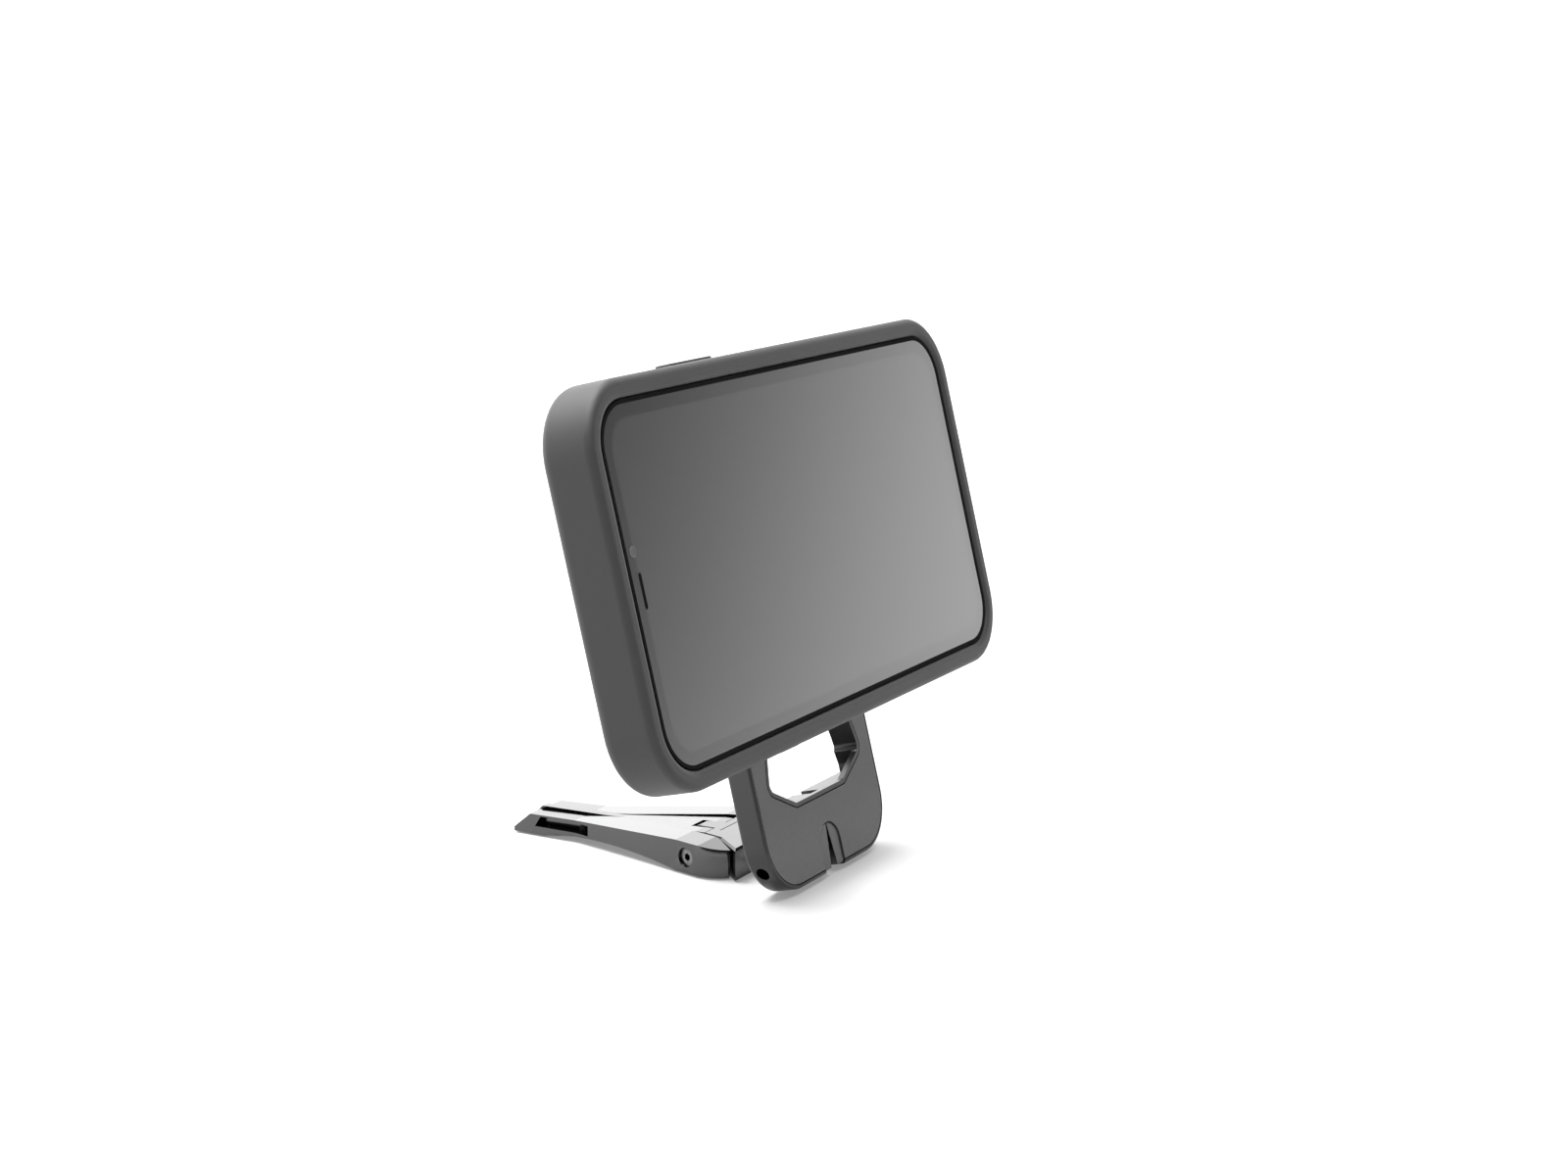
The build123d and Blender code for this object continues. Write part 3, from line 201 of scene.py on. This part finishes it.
def border_group():
    """Mask of a rounded rectangle on the screen: 1 inside it, 0 on the border outside."""
    tree, source, sink = new_group(
        "screen_border",
        [("Half Length", 70 * MM), ("Half Width", 35 * MM), ("Corner", 8 * MM), ("Softness", 0.15 * MM)],
        ["Inside"],
    )
    reach = []
    for along, label in zip(handset_place(tree), ("Half Length", "Half Width")):
        past = maths(tree, "SUBTRACT", maths(tree, "ABSOLUTE", along), source.outputs[label])
        reach.append(maths(tree, "MAXIMUM", maths(tree, "ADD", past, source.outputs["Corner"]), 0.0))
    squares = [maths(tree, "MULTIPLY", value, value) for value in reach]
    away = maths(tree, "SQRT", maths(tree, "ADD", *squares))
    outside = maths(tree, "SUBTRACT", away, source.outputs["Corner"])
    inside = map_range(tree, outside, 0.0, source.outputs["Softness"], 1.0, 0.0)
    tree.links.new(inside, sink.inputs["Inside"])
    return tree


EDGE_WEAR = edge_wear_group()
CREVICE_SHADE = crevice_group()
FINE_GRAIN = fine_grain_group()
PLAIN_WEAVE = weave_group()
SCREEN_BORDER = border_group()

# ---------------------------------------------------------------- materials

# Near-black colour of the painted shade in gaps and corners.
PAINTED_SHADE_LEVEL = 0.0015
# Fine grain varies mostly between these values, about one half.
GRAIN_LOW, GRAIN_HIGH = 0.3, 0.7


def start_material(name, metallic=0.0, roughness=0.5, **plain):
    """Material with a Principled shader; plain values go straight on its sockets."""
    material = bpy.data.materials.new(name)
    material.use_nodes = True
    shader = material.node_tree.nodes["Principled BSDF"]
    shader.inputs["Metallic"].default_value = metallic
    shader.inputs["Roughness"].default_value = roughness
    for label, value in plain.items():
        shader.inputs[label.replace("_", " ")].default_value = value
    return material, material.node_tree, shader


def place_group(tree, group, **values):
    """Node of a group with its inputs set."""
    node = tree.nodes.new("ShaderNodeGroup")
    node.node_tree = group
    for label, value in values.items():
        node.inputs[label.replace("_", " ")].default_value = value
    return node


def colour_between(tree, factor, low, high):
    """Mix of two colours by a factor socket; a colour is a socket or its three levels."""
    mix = tree.nodes.new("ShaderNodeMix")
    mix.data_type = "RGBA"
    tree.links.new(factor, mix.inputs["Factor"])
    low_socket, high_socket = [socket for socket in mix.inputs if socket.type == "RGBA"]
    for colour, socket in ((low, low_socket), (high, high_socket)):
        feed(tree, colour if isinstance(colour, bpy.types.NodeSocket) else (*colour, 1), socket)
    return [socket for socket in mix.outputs if socket.type == "RGBA"][0]


def shaded(tree, colour, reach, depth):
    """A colour darkened by painted shade in gaps and corners."""
    crevice = place_group(tree, CREVICE_SHADE, Reach=reach, Depth=depth)
    return colour_between(tree, crevice.outputs["Open"], grey(PAINTED_SHADE_LEVEL), colour)


def grey(level):
    """Neutral grey of a linear level."""
    return (level, level, level)


def bump(tree, shader, height, distance):
    """Bump of a real depth in metres."""
    node = tree.nodes.new("ShaderNodeBump")
    node.inputs["Strength"].default_value = 1.0
    node.inputs["Distance"].default_value = distance
    tree.links.new(height, node.inputs["Height"])
    tree.links.new(node.outputs["Normal"], shader.inputs["Normal"])


def roughen(tree, shader, fine, low, high):
    """Roughness that varies between two values with the grain."""
    rough = map_range(tree, fine.outputs["Value"], GRAIN_LOW, GRAIN_HIGH, low, high)
    tree.links.new(rough, shader.inputs["Roughness"])


def metal(name, level, roughness, depth=0.004 * MM, wear=0.5, metallic=1.0, crevice=0.9 * MM):
    """Blasted or polished metal: faint cloudiness, fine grain, brighter worn edges, and painted shade in gaps and
    corners.
    """
    less, more, bare_gain, brightest, crevice_depth = 0.85, 1.15, 1.9, 0.9, 2.0
    material, tree, shader = start_material(name, metallic=metallic)
    fine = place_group(tree, FINE_GRAIN, Grain_Scale=7000, Cloud_Scale=60, Cloud_Share=0.5)
    worn = place_group(tree, EDGE_WEAR, Amount=wear)
    base = colour_between(tree, fine.outputs["Value"], grey(level * less), grey(level * more))
    bare = grey(min(brightest, level * bare_gain))
    colour = colour_between(tree, worn.outputs["Mask"], base, bare)
    tree.links.new(shaded(tree, colour, crevice, crevice_depth), shader.inputs["Base Color"])
    roughen(tree, shader, fine, roughness * less, roughness * more)
    bump(tree, shader, fine.outputs["Height"], depth)
    return material


def moulded(name, level, roughness, grain=2600, depth=0.03 * MM, sheen=0.0, wear=0.15, specular=0.5):
    """Moulded rubber or plastic: fine texture, clouding, slightly lighter edges, and painted shade in gaps and
    corners.
    """
    less, more, edge_gain = 0.88, 1.12, 1.5
    smoothest, roughest = 0.9, 1.08
    # Reach and strength of the painted shade in gaps.
    crevice, crevice_depth = 0.8 * MM, 1.2
    material, tree, shader = start_material(name, Sheen_Weight=sheen, Specular_IOR_Level=specular)
    shader.inputs["Sheen Roughness"].default_value = 0.5
    fine = place_group(tree, FINE_GRAIN, Grain_Scale=grain, Cloud_Scale=45, Cloud_Share=0.6)
    worn = place_group(tree, EDGE_WEAR, Amount=wear)
    base = colour_between(tree, fine.outputs["Value"], grey(level * less), grey(level * more))
    colour = colour_between(tree, worn.outputs["Mask"], base, grey(level * edge_gain))
    tree.links.new(shaded(tree, colour, crevice, crevice_depth), shader.inputs["Base Color"])
    roughen(tree, shader, fine, roughness * smoothest, roughness * roughest)
    bump(tree, shader, fine.outputs["Height"], depth)
    return material


def woven(name, level, threads, depth):
    """Woven cloth on the handset's back."""
    valley, crown = 0.55, 1.3
    material, tree, shader = start_material(name, roughness=0.85, Sheen_Weight=0.3)
    weave = place_group(tree, PLAIN_WEAVE, Threads_per_Metre=threads)
    fine = place_group(tree, FINE_GRAIN, Grain_Scale=1500, Cloud_Scale=40, Cloud_Share=0.7)
    base = colour_between(tree, weave.outputs["Value"], grey(level * valley), grey(level * crown))
    colour = colour_between(tree, fine.outputs["Value"], base, grey(level))
    tree.links.new(colour, shader.inputs["Base Color"])
    bump(tree, shader, weave.outputs["Height"], depth)
    return material


def screen(name):
    """Dark display behind glass: black border, slightly lighter picture area, smudged gloss."""
    material, tree, shader = start_material(name, Coat_Weight=1.0, Coat_Roughness=0.03)
    border_width, corner_inset = 3.4 * MM, 3.0 * MM
    border_level, picture_level = 0.012, 0.038
    clean_roughness, smudged_roughness = 0.21, 0.26
    area = place_group(
        tree,
        SCREEN_BORDER,
        Half_Length=glass_half_length - border_width,
        Half_Width=glass_half_width - border_width,
        Corner=GLASS_CORNER - corner_inset,
    )
    smudges = place_group(tree, FINE_GRAIN, Grain_Scale=14, Cloud_Scale=6, Cloud_Share=0.5)
    colour = colour_between(tree, area.outputs["Inside"], grey(border_level), grey(picture_level))
    tree.links.new(colour, shader.inputs["Base Color"])
    roughen(tree, shader, smudges, clean_roughness, smudged_roughness)
    return material


# One finish for each material slot: name, grey level and roughness, then its own details.
MATERIALS = {
    "stand_metal": metal("blasted_aluminium", 0.06, 0.36, depth=0.002 * MM, wear=0.3),
    # The leg and hub set their own reach for the painted shade in their notches and gaps.
    "leg_metal": metal(
        "polished_leg_metal", 0.086, 0.12, depth=0.0004 * MM, wear=0.25, crevice=0.6 * MM
    ),
    "hub_metal": metal(
        "polished_hub_metal", 0.075, 0.14, depth=0.0004 * MM, wear=0.25, crevice=1.6 * MM
    ),
    "steel": metal("dark_steel", 0.14, 0.25),
    "magnet": metal("plated_magnet", 0.62, 0.18),
    "jaw_metal": metal("blackened_jaw", 0.10, 0.34),
    "phone_metal": metal("handset_frame_metal", 0.22, 0.30),
    "pad_silicone": moulded("pad_silicone", 0.15, 0.62, grain=3200, depth=0.012 * MM),
    "foot_rubber": moulded("foot_rubber", 0.02, 0.8),
    "case_rubber": moulded(
        "case_rubber", 0.038, 0.58, grain=2200, depth=0.02 * MM, sheen=0.08, specular=0.3
    ),
    "key_plastic": moulded("key_plastic", 0.05, 0.6, depth=0.01 * MM),
    "cell": moulded("cell_wrap", 0.03, 0.4),
    "board": moulded("lacquered_board", 0.02, 0.35),
    "module": moulded("moulded_module", 0.03, 0.5),
    "lining": moulded("microfibre_lining", 0.06, 0.9, grain=5000, sheen=0.4),
    "case_fabric": woven("woven_back", 0.10, 1500, 0.08 * MM),
    "screen_glass": screen("screen_glass"),
    "display": moulded("display_sheet", 0.01, 0.3),
    "back_glass": moulded("frosted_back_glass", 0.06, 0.3),
    "lens": metal("coated_lens", 0.02, 0.05, metallic=0.0, wear=0.0),
}
# Near-black used as painted shade in the gap round the glass, and as the dark of the earpiece slit.
GAP_BLACK = moulded("gap_black", 0.003, 0.9, wear=0.0, specular=0.1)
LENS_RING = metal("lens_ring_metal", 0.28, 0.22)
FRONT_LENS = metal("front_lens_metal", 0.19, 0.25)
LENS_BLACK = metal("lens_black", 0.012, 0.12, metallic=0.0, wear=0.0)

SLOTS = {part["node"]: part["material_slot"] for part in frame["record"]["subparts"]}
for node, node_object in frame["nodes"].items():
    node_object.data.materials.clear()
    node_object.data.materials.append(MATERIALS[SLOTS[node]])

# ---------------------------------------------------------------- softened edges on machined pieces

# Edge widths in millimetres
SOFT_EDGES = {
    "mast_frame": 0.12,
    "left_leg": 0.22,
    "right_leg": 0.22,
    "centre_leg": 0.18,
    "hub_body": 0.15,
    "ball_jaw_left": 0.15,
    "ball_jaw_right": 0.15,
}
SHARP_ANGLE = radians(32)


def soften(node, width):
    """Small rounded edges on a machined piece, smooth across its curves."""
    piece = frame["nodes"][node]
    weld = piece.modifiers.new("joined_faces", "WELD")
    weld.merge_threshold = 0.002 * MM
    edge = piece.modifiers.new("soft_edges", "BEVEL")
    edge.limit_method = "ANGLE"
    edge.angle_limit = SHARP_ANGLE
    edge.width = width
    edge.segments = 2
    edge.harden_normals = False
    edge.use_clamp_overlap = True


for node, width in SOFT_EDGES.items():
    soften(node, width * MM)

# ---------------------------------------------------------------- modelled pieces

# The black sheet of painted shade in the glass gap, and the earpiece slit, start this far above the screen's
# glass.
GLASS_LIFT = 0.02 * MM
# Rim, dish and edge of a dished disc, as shares of its radius and depth
RIM_SHARE = 0.25
DISH_SHARE = 0.3
DISH_EDGE_SHARE = 0.12
# A face counts as an end face when its normal's share along the axis is above this.
END_FACE = 0.9

bpy.ops.object.select_all(action="DESELECT")


def edit(piece):
    """Starts edit mode on one piece with nothing selected."""
    bpy.ops.object.select_all(action="DESELECT")
    bpy.context.view_layer.objects.active = piece
    piece.select_set(True)
    bpy.ops.object.mode_set(mode="EDIT")
    bpy.ops.mesh.select_all(action="DESELECT")


def done(piece, name, material, smooth=35):
    """Applies the piece's place, names it and hangs it on the handset."""
    if piece.mode == "EDIT":
        bpy.ops.object.mode_set(mode="OBJECT")
    bpy.ops.object.select_all(action="DESELECT")
    bpy.context.view_layer.objects.active = piece
    piece.select_set(True)
    bpy.ops.object.transform_apply(location=True, rotation=True, scale=True)
    bpy.ops.object.shade_smooth_by_angle(angle=radians(smooth))
    piece.name = name
    piece.data.materials.clear()
    piece.data.materials.append(material)
    piece.select_set(False)
    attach(piece, "handset")


def rounded_plate(half_length, half_width, corner, place, turn):
    """Flat rounded rectangle in edit mode, facing along its own z."""
    bpy.ops.mesh.primitive_plane_add(size=2, location=place, rotation=turn)
    piece = bpy.context.object
    piece.scale = (half_length, half_width, 1)
    bpy.ops.object.transform_apply(location=False, rotation=False, scale=True)
    edit(piece)
    bpy.ops.mesh.select_all(action="SELECT")
    bpy.ops.mesh.bevel(offset=corner, segments=10, affect="VERTICES")
    return piece


def extrude_selected(direction, distance):
    """Extrudes the selected faces and moves them along a direction."""
    bpy.ops.mesh.extrude_region_move(TRANSFORM_OT_translate={"value": direction * distance})


def glass_gap_shade():
    """Black sheet of painted shade that shows as a dark line in the gap between the screen and the case."""
    gap, width, height = 0.14 * MM, 0.8 * MM, 0.1 * MM
    piece = rounded_plate(
        glass_half_length + gap,
        glass_half_width + gap,
        GLASS_CORNER,
        on_glass(0, 0, GLASS_LIFT),
        (lean_angle, 0, 0),
    )
    bpy.ops.mesh.select_all(action="SELECT")
    bpy.ops.mesh.inset(thickness=width)
    bpy.ops.mesh.delete(type="FACE")
    bpy.ops.mesh.select_all(action="SELECT")
    extrude_selected(plate_normal, height)
    bpy.ops.mesh.select_all(action="SELECT")
    bpy.ops.mesh.normals_make_consistent(inside=False)
    done(piece, "glass_gap_shade", GAP_BLACK)


def dished_disc(name, place, radius, depth, material, turn):
    """Turned button of a lens or cap: a rim with a dished middle."""
    bpy.ops.mesh.primitive_cylinder_add(
        vertices=40, radius=radius, depth=depth, location=place, rotation=turn
    )
    piece = bpy.context.object
    axis = piece.rotation_euler.to_matrix() @ Vector((0, 0, 1))
    edit(piece)
    bpy.ops.object.mode_set(mode="OBJECT")
    for face in piece.data.polygons:
        face.select = face.normal.z > END_FACE
    bpy.ops.object.mode_set(mode="EDIT")
    bpy.ops.mesh.inset(thickness=radius * RIM_SHARE)
    extrude_selected(axis, -depth * DISH_SHARE)
    bpy.ops.mesh.inset(thickness=radius * DISH_EDGE_SHARE)
    done(piece, name, material)


def front_camera():
    """Small lens at the end of the screen."""
    from_end, up, out = 2.9 * MM, 7.6 * MM, 0.01 * MM
    radius, depth = 1.15 * MM, 0.06 * MM
    place = on_glass(from_end - glass_half_length, up, out)
    dished_disc("front_camera", place, radius, depth, FRONT_LENS, (lean_angle, 0, 0))


def earpiece_slit():
    """Slit of the earpiece beside the front camera."""
    from_end, up = 3.6 * MM, -0.1 * MM
    half_width, half_length, corner = 0.42 * MM, 3.5 * MM, 0.4 * MM
    rise, rim, drop = 0.04 * MM, 0.12 * MM, 0.03 * MM
    place = on_glass(from_end - glass_half_length, up, GLASS_LIFT)
    slit = rounded_plate(half_width, half_length, corner, place, (lean_angle, 0, 0))
    bpy.ops.mesh.select_all(action="SELECT")
    extrude_selected(plate_normal, rise)
    bpy.ops.mesh.inset(thickness=rim)
    extrude_selected(plate_normal, -drop)
    done(slit, "earpiece_slit", GAP_BLACK)


def rear_lenses():
    """Ring and dished face on each rear lens, and the lamp beside them."""
    low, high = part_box("camera_lenses")
    block_low, block_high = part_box("rear_camera")
    lens_radius, block_half_depth, row_from_middle = 6.2 * MM, 0.9 * MM, 8.25 * MM
    ring_inset, ring_thickness, ring_flatness, ring_out = 0.3 * MM, 0.5 * MM, 0.9, 0.95 * MM
    face_radius, face_depth, face_out = 4.3 * MM, 0.5 * MM, 1.0 * MM
    lamp_radius, lamp_depth, lamp_out = 2.3 * MM, 0.5 * MM, 0.1 * MM
    outward = -plate_normal
    back_turn = (lean_angle + pi, 0, 0)
    column = (high.x - low.x) / 2 - lens_radius
    middle = (block_low + block_high) / 2 + outward * block_half_depth
    middle.x = (low.x + high.x) / 2

    def on_block(x, up, out):
        """Point on the camera block's outer face, along, up and out from its middle."""
        return middle + Vector((x, 0, 0)) + plate_up * up + outward * out

    spots = ((-column, row_from_middle), (column, row_from_middle), (0, -row_from_middle))
    for number, (x, up) in enumerate(spots, start=1):
        bpy.ops.mesh.primitive_torus_add(
            major_segments=48,
            minor_segments=10,
            major_radius=lens_radius - ring_inset,
            minor_radius=ring_thickness,
            location=on_block(x, up, ring_out),
            rotation=back_turn,
        )
        ring = bpy.context.object
        edit(ring)
        bpy.ops.mesh.select_all(action="SELECT")
        bpy.ops.transform.resize(value=(1, 1, ring_flatness))
        done(ring, f"lens_ring_{number}", LENS_RING, smooth=60)
        place = on_block(x, up, face_out)
        dished_disc(f"lens_dish_{number}", place, face_radius, face_depth, LENS_BLACK, back_turn)
    place = on_block(column, -row_from_middle, lamp_out)
    dished_disc("rear_lamp", place, lamp_radius, lamp_depth, MATERIALS["steel"], back_turn)


glass_gap_shade()
front_camera()
earpiece_slit()
rear_lenses()

# ---------------------------------------------------------------- floor, light, camera

WHITE_LEVEL = 0.45
FLOOR_SIZE = 8
FLOOR_DROP = 0.2 * MM
# The floor glows from one strength to another between two distances.
FLOOR_GLOW, FAR_GLOW = 0.25, 0.9
FLOOR_NEAR, FLOOR_FAR = 0.25, 1.2
# The surroundings brighten towards one side: (start, end, added level) of each rise.
BRIGHT_SIDE = Vector((0.503, 0.863, -0.9))
DIM_LEVEL = 0.09
SWELLS = ((-0.17, 0.09, 1.8), (0.3, 0.7, 1.1))
CAMERA_OFFSET = Vector((-498.8, -261.5, 100.9)) * MM
CAMERA_AZIMUTH = radians(61.68)
CAMERA_DROP = radians(11.31)
CAMERA_LENS = 62.5
SENSOR_WIDTH = 36


def pale_floor():
    """Pale floor that stays white far away."""
    bpy.ops.mesh.primitive_plane_add(size=FLOOR_SIZE, location=(0, 0, -FLOOR_DROP))
    floor = bpy.context.object
    floor.name = "floor"
    material, tree, shader = start_material("floor_paper", roughness=0.9)
    shader.inputs["Base Color"].default_value = (*grey(WHITE_LEVEL), 1)
    shader.inputs["Emission Color"].default_value = (1, 1, 1, 1)
    place = tree.nodes.new("ShaderNodeTexCoord")
    away = tree.nodes.new("ShaderNodeVectorMath")
    away.operation = "LENGTH"
    tree.links.new(place.outputs["Object"], away.inputs[0])
    glow = map_range(tree, away.outputs["Value"], FLOOR_NEAR, FLOOR_FAR, FLOOR_GLOW, FAR_GLOW)
    tree.links.new(glow, shader.inputs["Emission Strength"])
    floor.data.materials.append(material)


def surroundings():
    """Even grey surroundings with one bright side."""
    world = bpy.data.worlds.new("studio")
    bpy.context.scene.world = world
    world.use_nodes = True
    tree = world.node_tree
    background = tree.nodes["Background"]
    background.inputs["Color"].default_value = (1, 1, 1, 1)
    place = tree.nodes.new("ShaderNodeTexCoord")
    toward = tree.nodes.new("ShaderNodeVectorMath")
    toward.operation = "DOT_PRODUCT"
    tree.links.new(place.outputs["Generated"], toward.inputs[0])
    toward.inputs[1].default_value = BRIGHT_SIDE
    level = DIM_LEVEL
    for start, end, rise in SWELLS:
        swell = tree.nodes.new("ShaderNodeMapRange")
        swell.interpolation_type = "SMOOTHSTEP"
        tree.links.new(toward.outputs["Value"], swell.inputs["Value"])
        swell.inputs["From Min"].default_value = start
        swell.inputs["From Max"].default_value = end
        swell.inputs["To Max"].default_value = rise
        level = maths(tree, "ADD", swell.outputs["Result"], level)
    tree.links.new(level, background.inputs["Strength"])


def soft_box(name, place, target, size, power):
    """Rectangular area light aimed at a point."""
    light = bpy.data.lights.new(name, "AREA")
    light.shape = "RECTANGLE"
    light.size, light.size_y = size
    light.energy = power
    holder = bpy.data.objects.new(name, light)
    holder.location = place
    holder.rotation_euler = (Vector(target) - Vector(place)).to_track_quat("-Z", "Y").to_euler()
    bpy.context.scene.collection.objects.link(holder)


def studio_camera():
    """Camera set off from the middle of the screen, looking a little down."""
    camera_data = bpy.data.cameras.new("camera")
    camera_data.lens = CAMERA_LENS
    camera_data.sensor_width = SENSOR_WIDTH
    camera_data.clip_start = 0.01
    camera = bpy.data.objects.new("camera", camera_data)
    camera.location = glass_top + CAMERA_OFFSET
    level = cos(CAMERA_DROP)
    direction = Vector((level * sin(CAMERA_AZIMUTH), level * cos(CAMERA_AZIMUTH), -sin(CAMERA_DROP)))
    camera.rotation_euler = direction.to_track_quat("-Z", "Y").to_euler()
    bpy.context.scene.collection.objects.link(camera)
    bpy.context.scene.camera = camera


pale_floor()
surroundings()
soft_box("top_box", (-0.15, 0.15, 1.4), (0, 0, 0.05), (1.4, 1.4), 56)
soft_box("back_box", (0.1, 0.7, 1.2), (0, 0, 0.08), (1.0, 0.6), 14)
studio_camera()
bpy.context.scene.view_settings.view_transform = "Standard"
